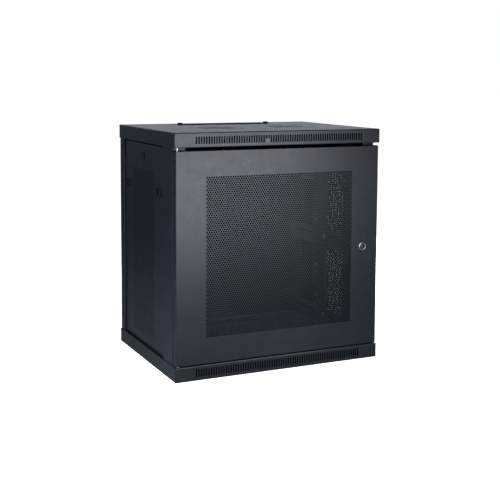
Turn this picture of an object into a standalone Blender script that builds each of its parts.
"""Wall-mounted 12U network rack cabinet with a perforated door, 600 x 450 x 640 mm.

Frame: origin at the centre of the underside, +X to the right, +Y to the wall, +Z up; the door
faces -Y.  Every mesh object is one physical piece, modelled in metres where it sits at rest:
door and panels closed, with their locks and latches released.
"""

import bmesh
import bpy
from math import cos, pi, radians, sin, sqrt
from mathutils import Matrix, Vector

MM = 0.001

# Overall size
WIDTH = 600 * MM
DEPTH = 450 * MM
HEIGHT = 640 * MM
BASE_HEIGHT = 39 * MM            # height of the base tray
CAP_BOTTOM = HEIGHT - 38.5 * MM  # lower edge of the top cover
HALF_W = WIDTH / 2
HALF_D = DEPTH / 2
SHEET = 1.5 * MM                 # folded steel sheet
GAP = 0.3 * MM                   # clearance between pieces that touch
CUT = 5 * MM                     # how far a cutter reaches past the sheet it cuts
LIP = 5.5 * MM                   # return lip of the fascias

# Frame
BODY_X = HALF_W - 2.5 * MM       # outer face of the posts
POST_FRONT_Y = -199 * MM
POST_TURN_X = 262 * MM           # inner edge of the post's front and rear flanges
OPENING_Y = (-127 * MM, 194 * MM)  # side opening between the posts
SEAT_X = BODY_X - 12 * MM        # outer face of the flange that a side panel seats on
SEAT = 8 * MM                    # width of that flange beside the posts
SEAT_TOP_Z = 588 * MM
SEAT_BOTTOM_Z = 52 * MM
FRAME_Z = (SHEET + GAP, HEIGHT - SHEET - GAP)

# Door
DOOR_Z = (41.5 * MM, 594 * MM)
DOOR_DEPTH = 21 * MM
HINGE = (-290 * MM, -215 * MM)
PIN_RADIUS = 3 * MM
PIN_HOLE = 3.4 * MM
DOOR_LOCK = (250 * MM, 317 * MM)   # x, z

# Side panels
PANEL_X = 293 * MM
PANEL_DEPTH = 7 * MM
PANEL_Y = (-125.5 * MM, 192.5 * MM)
PANEL_Z = (40.5 * MM, 597.5 * MM)
PANEL_MID_Y = sum(PANEL_Y) / 2
SIDE_LOCK_Z = 562 * MM
LATCH_Z = (465 * MM, 488 * MM)
LATCH_Y = (-117 * MM, -67 * MM)    # front latch window; the rear one mirrors it
LOCK_HOLE = 9.5 * MM

# Vent slots of both fascias
SLOT_COUNT = 70
SLOT_PITCH = 7 * MM
SLOT_WIDTH = 4 * MM
TOP_SLOT_Z = (610 * MM, 630 * MM)
BASE_SLOT_Z = (9 * MM, 31 * MM)

# Top: fans and cable opening
FAN_CENTRES = ((-105 * MM, -34 * MM), (105 * MM, -34 * MM))
FAN_SIZE = 120 * MM
FAN_BORE = 57 * MM
FAN_DEPTH = 25 * MM
FAN_WEB = 3 * MM                 # thickness of the struts that carry the rotor
FAN_HUB = 19 * MM
VENT_RADIUS = 55 * MM
VENT_PITCH = 15.5 * MM
VENT_COUNT = 7
VENT_WIDTH = 6 * MM
CABLE_X = 130 * MM
CABLE_Y = (135 * MM, 178 * MM)
COVER_TRAVEL = 48 * MM
THUMB = (138 * MM, 158 * MM)
THUMB_SLOT = 6 * MM
BASE_ENTRY = ((-112 * MM, 112 * MM), (140 * MM, 192 * MM))  # x and y of the lower cable opening

# Wall side: keyholes that hang the cabinet
KEYHOLES = ((-200 * MM, 510 * MM), (200 * MM, 510 * MM))    # x, z of the round parts
KEYHOLE_RADIUS = 7 * MM
KEYHOLE_SLOT = (8 * MM, 20 * MM)                             # width and rise above the round

# 19-inch rails
UNIT = 44.45 * MM
UNITS = 12
HOLE_OFFSETS = (6.35 * MM, 22.225 * MM, 38.1 * MM)
HOLE_X = 232.55 * MM
HOLE_SIDE = 9.5 * MM
RAIL_SHEET = 2 * MM
RAIL_X = (225.5 * MM, 257.7 * MM)
RAIL_LEG = 35 * MM
RAIL_FRONT_Y = -160 * MM
RAIL_REAR_Y = 15 * MM
RAIL_Z = (46 * MM, 594 * MM)
FIRST_UNIT_Z = sum(RAIL_Z) / 2 - UNITS * UNIT / 2
CARRIER_X = 258 * MM
CARRIER_HEIGHT = 50 * MM
CARRIER_START_Y = -190 * MM      # clear of the door lock's cam
CARRIER_SLOTS_Y = ((-182 * MM, -95 * MM), (-60 * MM, 185 * MM))
CARRIER_ZS = (("lower", 45 * MM), ("middle", 280 * MM), ("upper", 500 * MM))

AXES = {"X": (1, 2, 0), "Y": (0, 2, 1), "Z": (0, 1, 2)}  # drawing axes a, b and the depth axis


# ---------------------------------------------------------------- scene and materials

def clear_scene():
    for item in list(bpy.data.objects):
        bpy.data.objects.remove(item, do_unlink=True)


def new_collection(name):
    collection = bpy.data.collections.new(name)
    bpy.context.scene.collection.children.link(collection)
    return collection


def new_material(name, color, roughness, metallic):
    material = bpy.data.materials.new(name)
    material.use_nodes = True
    shader = material.node_tree.nodes["Principled BSDF"]
    shader.inputs["Base Color"].default_value = (*color, 1.0)
    shader.inputs["Roughness"].default_value = roughness
    shader.inputs["Metallic"].default_value = metallic
    material.diffuse_color = (*color, 1.0)
    return material


clear_scene()
PART = new_collection("rack_cabinet")
CUTTERS = new_collection("cutters")
BLACK = new_material("black_powder_coat", (0.045, 0.048, 0.052), 0.42, 0.0)
DARK = new_material("dark_plastic", (0.02, 0.02, 0.022), 0.5, 0.0)
ZINC = new_material("zinc_plated_steel", (0.62, 0.63, 0.64), 0.35, 1.0)
FAN_PLASTIC = new_material("fan_plastic", (0.03, 0.03, 0.032), 0.45, 0.0)


# ---------------------------------------------------------------- modelling helpers

def place(axis, a, b, depth=0.0):
    """Point with drawing coordinates a, b on the plane at depth along the axis."""
    first, second, along = AXES[axis]
    point = [0.0, 0.0, 0.0]
    point[first], point[second], point[along] = a, b, depth
    return Vector(point)


def add_object(name, mesh_data, material, collection=PART):
    mesh = bpy.data.meshes.new(name)
    mesh_data.to_mesh(mesh)
    mesh_data.free()
    item = bpy.data.objects.new(name, mesh)
    collection.objects.link(item)
    if material:
        mesh.materials.append(material)
    return item


def add_box(mesh_data, low, high):
    low, high = Vector(low), Vector(high)
    matrix = Matrix.Translation((low + high) / 2) @ Matrix.Diagonal((*(high - low), 1))
    return bmesh.ops.create_cube(mesh_data, size=1, matrix=matrix)["verts"]


def add_rod(mesh_data, centre, axis, radius, length, segments=24):
    turn = {"X": Matrix.Rotation(pi / 2, 4, "Y"), "Y": Matrix.Rotation(pi / 2, 4, "X"), "Z": Matrix()}
    bmesh.ops.create_cone(mesh_data, cap_ends=True, segments=segments, radius1=radius, radius2=radius,
                          depth=length, matrix=Matrix.Translation(centre) @ turn[axis])


def box(name, low, high, material):
    mesh_data = bmesh.new()
    add_box(mesh_data, low, high)
    return add_object(name, mesh_data, material)


def solidify(item, thickness):
    modifier = item.modifiers.new("sheet", "SOLIDIFY")
    modifier.thickness = thickness
    modifier.offset = -1
    modifier.use_even_offset = True
    modifier.use_quality_normals = True
    return item


def tray(name, low, high, open_sides, material, thickness=SHEET):
    """Box of sheet, open at the sides whose outward directions are listed."""
    mesh_data = bmesh.new()
    add_box(mesh_data, low, high)
    directions = [Vector(side) for side in open_sides]
    gone = [face for face in mesh_data.faces if any(face.normal.dot(d) > 0.9 for d in directions)]
    bmesh.ops.delete(mesh_data, geom=gone, context="FACES")
    return solidify(add_object(name, mesh_data, material), thickness)


def section(name, axis, path, start, end, material, thickness=SHEET):
    """Folded strip drawn as a path across the axis; the sheet lies on the path's right side."""
    mesh_data = bmesh.new()
    corners = [mesh_data.verts.new(place(axis, a, b, start)) for a, b in path]
    edges = [mesh_data.edges.new(pair) for pair in zip(corners, corners[1:])]
    grown = bmesh.ops.extrude_edge_only(mesh_data, edges=edges)["geom"]
    new_verts = [part for part in grown if isinstance(part, bmesh.types.BMVert)]
    bmesh.ops.translate(mesh_data, verts=new_verts, vec=place(axis, 0, 0, end - start))
    mesh_data.normal_update()
    run_a, run_b = path[1][0] - path[0][0], path[1][1] - path[0][1]
    left = place(axis, -run_b, run_a)
    middle = (corners[0].co + corners[1].co) / 2 + place(axis, 0, 0, (end - start) / 2)
    first = min(mesh_data.faces, key=lambda face: (face.calc_center_median() - middle).length)
    if first.normal.dot(left) < 0:
        bmesh.ops.reverse_faces(mesh_data, faces=mesh_data.faces)
    return solidify(add_object(name, mesh_data, material), thickness)


def add_prism(mesh_data, axis, outline, start, end):
    corners = [mesh_data.verts.new(place(axis, a, b, start)) for a, b in outline]
    face = mesh_data.faces.new(corners)
    grown = bmesh.ops.extrude_face_region(mesh_data, geom=[face])["geom"]
    new_verts = [part for part in grown if isinstance(part, bmesh.types.BMVert)]
    bmesh.ops.translate(mesh_data, verts=new_verts, vec=place(axis, 0, 0, end - start))


def prism(name, axis, outline, start, end, material, collection=PART):
    mesh_data = bmesh.new()
    add_prism(mesh_data, axis, outline, start, end)
    bmesh.ops.recalc_face_normals(mesh_data, faces=mesh_data.faces)
    return add_object(name, mesh_data, material, collection)


def turned(name, profile, location, direction, material, closed=False, segments=28):
    """Solid of revolution; the profile (radius, height) runs down its outer side.

    The object's origin stays on the axis, which points along direction.
    """
    mesh_data = bmesh.new()
    points = [mesh_data.verts.new((radius, 0, height)) for radius, height in profile]
    for pair in zip(points, points[1:]):
        mesh_data.edges.new(pair)
    if closed:
        mesh_data.edges.new((points[-1], points[0]))
    item = add_object(name, mesh_data, material)
    item.location = location
    item.rotation_euler = Vector((0, 0, 1)).rotation_difference(Vector(direction)).to_euler()
    screw = item.modifiers.new("turn", "SCREW")
    screw.steps = screw.render_steps = segments
    screw.use_merge_vertices = True
    screw.merge_threshold = 0.00001
    screw.use_smooth_shade = False
    return item


def as_tool(item):
    item.hide_render = True
    item.display_type = "WIRE"
    return item


def cutter(name, boxes=(), rods=()):
    """Boxes (low, high) and rods (centre, axis, radius, length) that don't touch each other."""
    mesh_data = bmesh.new()
    for low, high in boxes:
        add_box(mesh_data, low, high)
    for rod in rods:
        add_rod(mesh_data, *rod)
    return as_tool(add_object(name, mesh_data, None, CUTTERS))


def combine(item, tool, operation="DIFFERENCE"):
    modifier = item.modifiers.new(tool.name, "BOOLEAN")
    modifier.operation = operation
    modifier.solver = "EXACT"
    modifier.object = tool
    return item


def handed(path, side):
    """The path as drawn for the left side, or mirrored in x for the right side."""
    return path if side < 0 else [(-a, b) for a, b in reversed(path)]


def span(a, b):
    return min(a, b), max(a, b)


def sided_box(side, x_range, y_range, z_range):
    """Low and high corner of a box whose x range is given for the right side."""
    x_low, x_high = span(side * x_range[0], side * x_range[1])
    return (x_low, y_range[0], z_range[0]), (x_high, y_range[1], z_range[1])


def arc(centre, radius, start, end, steps):
    angles = [radians(start + (end - start) * step / steps) for step in range(steps + 1)]
    return [(centre[0] + radius * cos(angle), centre[1] + radius * sin(angle)) for angle in angles]


SIDES = (("left", -1), ("right", 1))


# ---------------------------------------------------------------- top cover and base

def fascia_slots(name, z_range, lip_z):
    """Vent slots, and a notch at each end of the lip for the tray's side skirts."""
    notch = ((HALF_W - SHEET - GAP, HALF_W + SHEET), (-HALF_D + SHEET + GAP / 2, -HALF_D + LIP + CUT),
             (lip_z - 2 * SHEET, lip_z + 2 * SHEET))
    boxes = [sided_box(side, *notch) for _, side in SIDES]
    for index in range(SLOT_COUNT):
        x = (index - (SLOT_COUNT - 1) / 2) * SLOT_PITCH
        low = (x - SLOT_WIDTH / 2, -HALF_D - SHEET, z_range[0])
        high = (x + SLOT_WIDTH / 2, -HALF_D + 2 * SHEET, z_range[1])
        boxes.append((low, high))
    return cutter(name, boxes)


def make_fascia(name, lip_z, far_z, slot_z):
    """Front strip with a short return lip on the edge beside the door."""
    lip_y = -HALF_D + LIP
    path = [(lip_y, lip_z), (-HALF_D, lip_z), (-HALF_D, far_z)]
    if lip_z > far_z:
        path.reverse()
    fascia = section(name, "X", path, -HALF_W, HALF_W, BLACK)
    combine(fascia, fascia_slots(name + "_slots", slot_z, lip_z))


def vent_slots(z_range):
    """Slots that fill a circle over each fan."""
    boxes = []
    half = VENT_WIDTH / 2
    for x_centre, y_centre in FAN_CENTRES:
        for index in range(VENT_COUNT):
            offset = (index - (VENT_COUNT - 1) / 2) * VENT_PITCH
            reach = sqrt(VENT_RADIUS ** 2 - offset ** 2)
            x = x_centre + offset
            boxes.append(((x - half, y_centre - reach, z_range[0]),
                          (x + half, y_centre + reach, z_range[1])))
    return boxes


def make_top_cover():
    cover = tray("top_cover", (-HALF_W, -HALF_D + SHEET + GAP, CAP_BOTTOM), (HALF_W, HALF_D, HEIGHT),
                 [(0, -1, 0), (0, 0, -1)], BLACK)
    z_range = (HEIGHT - CUT, HEIGHT + CUT)
    openings = vent_slots(z_range)
    openings.append(((-CABLE_X, CABLE_Y[0], z_range[0]), (CABLE_X, CABLE_Y[1], z_range[1])))
    half = THUMB_SLOT / 2
    slot_y = (THUMB[1] - half - 0.5 * MM, THUMB[1] + COVER_TRAVEL + half + 0.5 * MM)
    for _, side in SIDES:
        openings.append(sided_box(side, (THUMB[0] - half, THUMB[0] + half), slot_y, z_range))
    combine(cover, cutter("top_openings", openings))


def make_base():
    tray_item = tray("base_tray", (-HALF_W, -HALF_D + SHEET + GAP, 0), (HALF_W, HALF_D, BASE_HEIGHT),
                     [(0, -1, 0), (0, 0, 1)], BLACK)
    floor_y = (POST_FRONT_Y + SHEET + GAP, HALF_D - 2 * SHEET - 2 * GAP)
    floor_x = SEAT_X - SHEET - GAP
    floor = box("floor_panel", (-floor_x, floor_y[0], BASE_HEIGHT - SHEET),
                (floor_x, floor_y[1], BASE_HEIGHT), BLACK)
    (x_low, x_high), (y_low, y_high) = BASE_ENTRY
    entry = cutter("base_cable_entry", [((x_low, y_low, -CUT), (x_high, y_high, BASE_HEIGHT + CUT))])
    combine(tray_item, entry)
    combine(floor, entry)
    turned("ground_stud", [(0, 18 * MM), (3 * MM, 18 * MM), (3 * MM, GAP), (0, GAP)],
           (-240 * MM, 205 * MM, BASE_HEIGHT), (0, 0, 1), ZINC, segments=16)


def make_back_panel():
    panel = box("back_panel", (-BODY_X, HALF_D - SHEET, BASE_HEIGHT + GAP),
                (BODY_X, HALF_D, CAP_BOTTOM - GAP), BLACK)
    width, rise = KEYHOLE_SLOT
    holes, slots = [], []
    for x, z in KEYHOLES:
        holes.append(((x, HALF_D, z), "Y", KEYHOLE_RADIUS, 2 * CUT))
        slots.append(((x - width / 2, HALF_D - CUT, z), (x + width / 2, HALF_D + CUT, z + rise)))
    combine(panel, cutter("keyhole_rounds", rods=holes))
    combine(panel, cutter("keyhole_slots", slots))


# ---------------------------------------------------------------- frame

def make_posts():
    front_seat, rear_seat = OPENING_Y[0] + SEAT, OPENING_Y[1] - SEAT
    rear_y = HALF_D - SHEET - GAP
    front = [(-POST_TURN_X, POST_FRONT_Y), (-BODY_X, POST_FRONT_Y), (-BODY_X, OPENING_Y[0]),
             (-SEAT_X, OPENING_Y[0]), (-SEAT_X, front_seat)]
    rear = [(-SEAT_X, rear_seat), (-SEAT_X, OPENING_Y[1]), (-BODY_X, OPENING_Y[1]),
            (-BODY_X, rear_y), (-POST_TURN_X, rear_y)]
    for label, side in SIDES:
        section("front_post_" + label, "Z", handed(front, side), *FRAME_Z, BLACK)
        section("rear_post_" + label, "Z", handed(rear, side), *FRAME_Z, BLACK)


def make_beams():
    """Front beams take the hinge pins; side beams close the seat of each side panel."""
    shelf_y = -HALF_D + LIP + GAP
    web_y = POST_FRONT_Y - SHEET - 0.8 * MM   # the web stands this far ahead of the posts
    reach = HALF_W - SHEET - GAP
    shelf_z = CAP_BOTTOM + SHEET
    top = section("front_top_beam", "X", [(shelf_y, shelf_z), (web_y, shelf_z), (web_y, FRAME_Z[1])],
                  -reach, reach, BLACK)
    shelf_z = BASE_HEIGHT - SHEET
    bottom = section("front_bottom_beam", "X", [(web_y, FRAME_Z[0]), (web_y, shelf_z), (shelf_y, shelf_z)],
                     -reach, reach, BLACK)
    holes = cutter("hinge_pin_holes", rods=[((*HINGE, BASE_HEIGHT), "Z", PIN_HOLE, 12 * MM),
                                            ((*HINGE, CAP_BOTTOM), "Z", PIN_HOLE, 12 * MM)])
    combine(top, holes)
    combine(bottom, holes)
    beam_y = (OPENING_Y[0] + SEAT + GAP, OPENING_Y[1] - SEAT - GAP)
    inner = SEAT_X - 20.5 * MM
    upper = [(-SEAT_X, SEAT_TOP_Z), (-SEAT_X, FRAME_Z[1]), (-inner, FRAME_Z[1])]
    lower = [(-inner, FRAME_Z[0]), (-SEAT_X, FRAME_Z[0]), (-SEAT_X, SEAT_BOTTOM_Z)]
    for label, side in SIDES:
        section("side_top_beam_" + label, "Y", handed(upper, side), *beam_y, BLACK)
        section("side_bottom_beam_" + label, "Y", handed(lower, side), *beam_y, BLACK)


def make_carriers():
    """Depth bars that the rails slide along, with a long slot for each rail's bolts."""
    y_range = (CARRIER_START_Y, HALF_D - 2 * SHEET - 2 * GAP)
    outer = SEAT_X - SHEET - GAP
    for level, z in CARRIER_ZS:
        path = [(-CARRIER_X, z + CARRIER_HEIGHT), (-CARRIER_X, z), (-outer, z)]
        slot_z = (z + 26 * MM, z + 34 * MM)
        for label, side in SIDES:
            bar = section(f"carrier_{level}_{label}", "Y", handed(path, side), *y_range, BLACK)
            x_range = (CARRIER_X - CUT, CARRIER_X + CUT)
            slots = [sided_box(side, x_range, slot_y, slot_z) for slot_y in CARRIER_SLOTS_Y]
            combine(bar, cutter(f"carrier_slots_{level}_{label}", slots))


def make_rails():
    x_in, x_out = RAIL_X
    front = [(-x_in, RAIL_FRONT_Y), (-x_out, RAIL_FRONT_Y), (-x_out, RAIL_FRONT_Y + RAIL_LEG)]
    rear = [(-x_out, RAIL_REAR_Y - RAIL_LEG), (-x_out, RAIL_REAR_Y), (-x_in, RAIL_REAR_Y)]
    heights = [FIRST_UNIT_Z + unit * UNIT + offset for unit in range(UNITS) for offset in HOLE_OFFSETS]
    half = HOLE_SIDE / 2
    x_range = (HOLE_X - half, HOLE_X + half)
    for label, side in SIDES:
        for end, path, face_y in (("front", front, RAIL_FRONT_Y), ("rear", rear, RAIL_REAR_Y)):
            rail = section(f"rail_{end}_{label}", "Z", handed(path, side), *RAIL_Z, BLACK, RAIL_SHEET)
            y_range = (face_y - CUT, face_y + CUT)
            holes = [sided_box(side, x_range, y_range, (z - half, z + half)) for z in heights]
            combine(rail, cutter(f"rail_holes_{end}_{label}", holes))


# ---------------------------------------------------------------- fans

def make_fan(label, x, y):
    top = HEIGHT - SHEET - GAP
    bottom = top - FAN_DEPTH
    half = FAN_SIZE / 2
    frame = box("fan_frame_" + label, (x - half, y - half, bottom), (x + half, y + half, top), FAN_PLASTIC)
    bore_length = FAN_DEPTH + 2 * CUT
    bore_centre = (x, y, bottom + FAN_WEB + bore_length / 2)
    combine(frame, cutter("fan_bore_" + label, rods=[(bore_centre, "Z", FAN_BORE, bore_length, 40)]))
    windows = bmesh.new()
    half_strut = 5     # degrees at the bore; twice that at the hub keeps a strut's sides near parallel
    for quarter in range(4):
        start, end = 90 * quarter + half_strut, 90 * quarter + 90 - half_strut
        outline = arc((x, y), FAN_BORE - 1 * MM, start, end, 8)
        outline += arc((x, y), FAN_HUB, end - 2 * half_strut, start + 2 * half_strut, 4)
        add_prism(windows, "Z", outline, bottom - CUT, bottom + FAN_WEB + CUT)
    bmesh.ops.recalc_face_normals(windows, faces=windows.faces)
    combine(frame, as_tool(add_object("fan_windows_" + label, windows, None, CUTTERS)))

    hub_top = 20 * MM
    rotor = turned("fan_rotor_" + label, [(0, hub_top), (FAN_HUB, hub_top), (FAN_HUB, 0), (0, 0)],
                   (x, y, bottom + FAN_WEB + 0.5 * MM), (0, 0, 1), FAN_PLASTIC)
    blades = bmesh.new()
    for index in range(7):
        verts = add_box(blades, (15 * MM, -0.8 * MM, -9 * MM), (54 * MM, 0.8 * MM, 9 * MM))
        turn = Matrix.Rotation(2 * pi * index / 7, 4, "Z") @ Matrix.Rotation(radians(50), 4, "X")
        bmesh.ops.transform(blades, verts=verts, matrix=turn)
    tool = as_tool(add_object("fan_blades_" + label, blades, None, CUTTERS))
    tool.location = (x, y, bottom + FAN_WEB + 10.5 * MM)
    combine(rotor, tool, "UNION")


# ---------------------------------------------------------------- cable opening cover

def make_cable_cover():
    top = HEIGHT - SHEET - GAP
    arm_in, arm_out = THUMB[0] - 8 * MM, THUMB[0] + 8 * MM
    plate_y = (CABLE_Y[0] - COVER_TRAVEL - 4 * MM, CABLE_Y[0] - 4 * MM)
    arm_y = THUMB[1] + 9 * MM
    outline = [(-arm_out, plate_y[0]), (arm_out, plate_y[0]), (arm_out, arm_y), (arm_in, arm_y),
               (arm_in, plate_y[1]), (-arm_in, plate_y[1]), (-arm_in, arm_y), (-arm_out, arm_y)]
    cover = prism("cable_cover", "Z", outline, top - SHEET, top, BLACK)
    holes = [((side * THUMB[0], THUMB[1], top), "Z", 2.8 * MM, 2 * CUT) for _, side in SIDES]
    combine(cover, cutter("cable_cover_holes", rods=holes))
    head, rim, shank = 5.5 * MM, 7.5 * MM, 2.5 * MM
    profile = [(0, head), (rim - 0.5 * MM, head), (rim, head - 0.7 * MM), (rim, GAP), (shank, GAP),
               (shank, -8 * MM), (0, -8 * MM)]
    for label, side in SIDES:
        turned("thumbscrew_" + label, profile, (side * THUMB[0], THUMB[1], HEIGHT), (0, 0, 1), DARK)


# ---------------------------------------------------------------- locks

def make_lock(prefix, suffix, location, direction, barrel, plug, flange, outline, cam_span):
    """Cam lock: housing with a round flange, turning key plug, and the cam behind the plug.

    The flange's height is measured outward from the sheet's face; barrel and plug are depths
    behind it.  cam_span is the cam's reach along the lock's axis.
    """
    bore, outside, ring = 6.3 * MM, 9.2 * MM, 11 * MM
    turned(f"{prefix}_housing{suffix}",
           [(ring, flange), (ring, GAP), (outside, GAP), (outside, -barrel), (bore, -barrel),
            (bore, flange)], location, direction, ZINC, closed=True)
    key_plug = turned(f"{prefix}_plug{suffix}",
                      [(0, flange - GAP), (bore - GAP, flange - GAP), (bore - GAP, -plug), (0, -plug)],
                      location, direction, ZINC)
    face = Vector(location) + Vector(direction) * (flange - GAP)
    key = Vector((0.9 * MM, 0.9 * MM, 4 * MM)) + Vector([3.1 * MM * abs(part) for part in direction])
    combine(key_plug, cutter(f"{prefix}_keyway{suffix}", [(face - key, face + key)]))
    prism(f"{prefix}_cam{suffix}", "X" if direction[0] else "Y", outline, *span(*cam_span), ZINC)


def cam_outline(centre, towards, length):
    """Rounded bar from the lock's axis towards an angle in degrees."""
    tip = (centre[0] + length * cos(radians(towards)), centre[1] + length * sin(radians(towards)))
    hub = arc(centre, 8 * MM, towards + 90, towards + 270, 8)
    return hub + arc(tip, 5 * MM, towards - 90, towards + 90, 6)


# ---------------------------------------------------------------- door

def make_door():
    z_low, z_high = DOOR_Z
    back_y = -HALF_D + DOOR_DEPTH
    door = tray("door_panel", (-BODY_X, -HALF_D, z_low), (BODY_X, back_y, z_high), [(0, 1, 0)], BLACK)
    lock_x, lock_z = DOOR_LOCK
    combine(door, cutter("door_holes", rods=[((lock_x, -HALF_D, lock_z), "Y", LOCK_HOLE, 2 * CUT),
                                             ((*HINGE, z_low), "Z", PIN_HOLE, 2 * CUT),
                                             ((*HINGE, z_high), "Z", PIN_HOLE, 2 * CUT)]))
    skin_y = -HALF_D + SHEET + GAP
    path = [(-222 * MM, skin_y), (-236 * MM, skin_y), (-236 * MM, back_y - 4 * MM)]
    for label, side in SIDES:
        section("door_stiffener_" + label, "Z", handed(path, side), 60 * MM, 576 * MM, BLACK)

    fold_x = -BODY_X + SHEET + GAP
    holder_z = 565.5 * MM
    path = [(fold_x, holder_z - 20 * MM), (fold_x, holder_z), (fold_x + 16 * MM, holder_z)]
    holder = section("hinge_pin_holder", "Y", path, -221 * MM, -208 * MM, BLACK)
    holder_hole = ((*HINGE, holder_z), "Z", PIN_HOLE, 2 * CUT)
    combine(holder, cutter("hinge_pin_holder_hole", rods=[holder_hole]))
    r, collar = PIN_RADIUS, 5 * MM
    turned("hinge_pin_upper", [(0, 609 * MM), (r - 0.8 * MM, 609 * MM), (r, 607 * MM), (r, 583 * MM),
                               (collar, 583 * MM), (collar, 580 * MM), (r, 580 * MM),
                               (r, 558 * MM), (0, 558 * MM)], (*HINGE, 0), (0, 0, 1), ZINC)
    washer = 6 * MM
    turned("hinge_pin_lower", [(0, 60 * MM), (r, 60 * MM), (r, 41.2 * MM), (washer, 41.2 * MM),
                               (washer, 39.3 * MM), (r, 39.3 * MM), (r, 32 * MM), (0, 32 * MM)],
           (*HINGE, 0), (0, 0, 1), ZINC)

    front = (lock_x, -HALF_D, lock_z)
    cam_y = POST_FRONT_Y + SHEET + 1 * MM
    make_lock("door_lock", "", front, (0, -1, 0), 19 * MM, cam_y - GAP + HALF_D, 2.3 * MM,
              cam_outline(DOOR_LOCK, 90, 34 * MM), (cam_y, cam_y + 2 * MM))
    nut_y = -HALF_D + SHEET + GAP
    nut = prism("door_lock_nut", "Y", arc(DOOR_LOCK, 13.5 * MM, 0, 300, 5), nut_y, nut_y + 4 * MM, ZINC)
    combine(nut, cutter("door_lock_nut_bore", rods=[(front, "Y", LOCK_HOLE, 30 * MM)]))


# ---------------------------------------------------------------- side panels

def make_latch(label, side, end, sign):
    """Slide latch: a tub in the panel's window and a slider whose tongue goes behind the post."""
    def mirror_y(y):
        return y if sign < 0 else 2 * PANEL_MID_Y - y

    wall = 1.2 * MM
    x_back = 280.5 * MM
    y_range = span(mirror_y(LATCH_Y[0] + GAP), mirror_y(LATCH_Y[1] - GAP))
    z_range = (LATCH_Z[0] + GAP, LATCH_Z[1] - GAP)
    low, high = sided_box(side, (x_back, PANEL_X), y_range, z_range)
    tub = tray(f"latch_tub_{end}_{label}", low, high, [(side, 0, 0)], DARK, wall)
    tongue = (x_back + wall + 0.5 * MM, x_back + wall + 1.9 * MM)
    wall_y = mirror_y(LATCH_Y[0] + GAP)
    hole = sided_box(side, (tongue[0] - GAP, tongue[1] + 0.5 * MM), (wall_y - 3 * MM, wall_y + 3 * MM),
                     (LATCH_Z[0] + 2 * MM, LATCH_Z[1] - 2 * MM))
    combine(tub, cutter(f"latch_hole_{end}_{label}", [hole]))
    grip_y = (-94 * MM, -86 * MM)
    tip_y = OPENING_Y[0] + SEAT + 0.5 * MM
    outline = [(PANEL_X - 0.7 * MM, grip_y[0]), (PANEL_X - 0.7 * MM, grip_y[1]), (tongue[0], grip_y[1]),
               (tongue[0], tip_y), (tongue[1], tip_y), (tongue[1], grip_y[0])]
    outline = [(side * x, mirror_y(y)) for x, y in outline]
    prism(f"latch_slider_{end}_{label}", "Z", outline, LATCH_Z[0] + 2.5 * MM, LATCH_Z[1] - 2.5 * MM, DARK)


def make_side_panel(label, side):
    low, high = sided_box(side, (PANEL_X - PANEL_DEPTH, PANEL_X), PANEL_Y, PANEL_Z)
    panel = tray("side_panel_" + label, low, high, [(-side, 0, 0)], BLACK)
    x_range = (PANEL_X - CUT, PANEL_X + CUT)
    mirrored = (2 * PANEL_MID_Y - LATCH_Y[1], 2 * PANEL_MID_Y - LATCH_Y[0])
    windows = [sided_box(side, x_range, LATCH_Y, LATCH_Z), sided_box(side, x_range, mirrored, LATCH_Z)]
    lock = (side * PANEL_X, PANEL_MID_Y, SIDE_LOCK_Z)
    combine(panel, cutter("side_panel_openings_" + label, windows, [(lock, "X", LOCK_HOLE, 2 * CUT)]))
    make_lock("side_lock", "_" + label, lock, (side, 0, 0), 8.5 * MM, 9.3 * MM, 2.8 * MM,
              cam_outline((PANEL_MID_Y, SIDE_LOCK_Z), 0, 26 * MM),
              (side * (PANEL_X - 9.6 * MM), side * (PANEL_X - 11.6 * MM)))
    for end, sign in (("front", -1), ("rear", 1)):
        make_latch(label, side, end, sign)


# ---------------------------------------------------------------- build

make_fascia("top_fascia", CAP_BOTTOM, HEIGHT, TOP_SLOT_Z)
make_fascia("base_fascia", BASE_HEIGHT, 0.0, BASE_SLOT_Z)
make_top_cover()
make_base()
make_back_panel()
make_posts()
make_beams()
make_carriers()
make_rails()
for (fan_x, fan_y), fan_label in zip(FAN_CENTRES, ("left", "right")):
    make_fan(fan_label, fan_x, fan_y)
make_cable_cover()
make_door()
for panel_label, panel_side in SIDES:
    make_side_panel(panel_label, panel_side)
